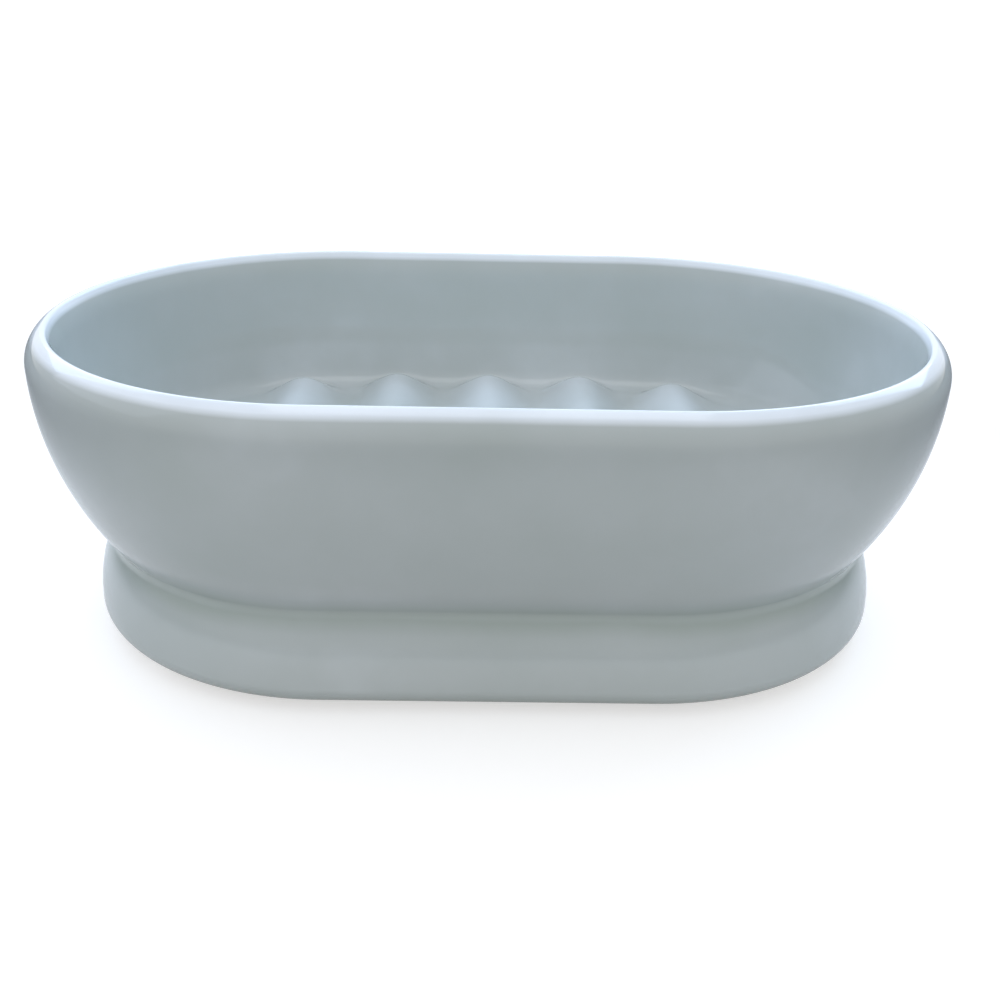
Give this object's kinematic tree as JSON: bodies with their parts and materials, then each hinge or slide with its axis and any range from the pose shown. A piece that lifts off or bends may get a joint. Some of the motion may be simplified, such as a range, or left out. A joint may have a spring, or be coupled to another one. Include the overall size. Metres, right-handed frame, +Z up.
{
  "type": "soap dish",
  "caption": "Oval glazed ceramic soap dish: a deep rounded bowl with a rolled rim and moulded drain ribs, on a waisted pedestal foot with small non-slip pads.",
  "frame": {"origin": "on the table, under the middle of the dish", "axes": "+X along the dish's length, +Y across its width, away from the side that the picture shows, +Z up"},
  "size_m": [0.145, 0.0956, 0.05],
  "materials": {
    "glaze": "gloss",
    "pad": "satin"
  },
  "bodies": {
    "root": {"bowl": "glaze", "pedestal": "glaze", "front_left_pad": "pad", "front_right_pad": "pad", "back_left_pad": "pad", "back_right_pad": "pad"}
  },
  "joints": []
}
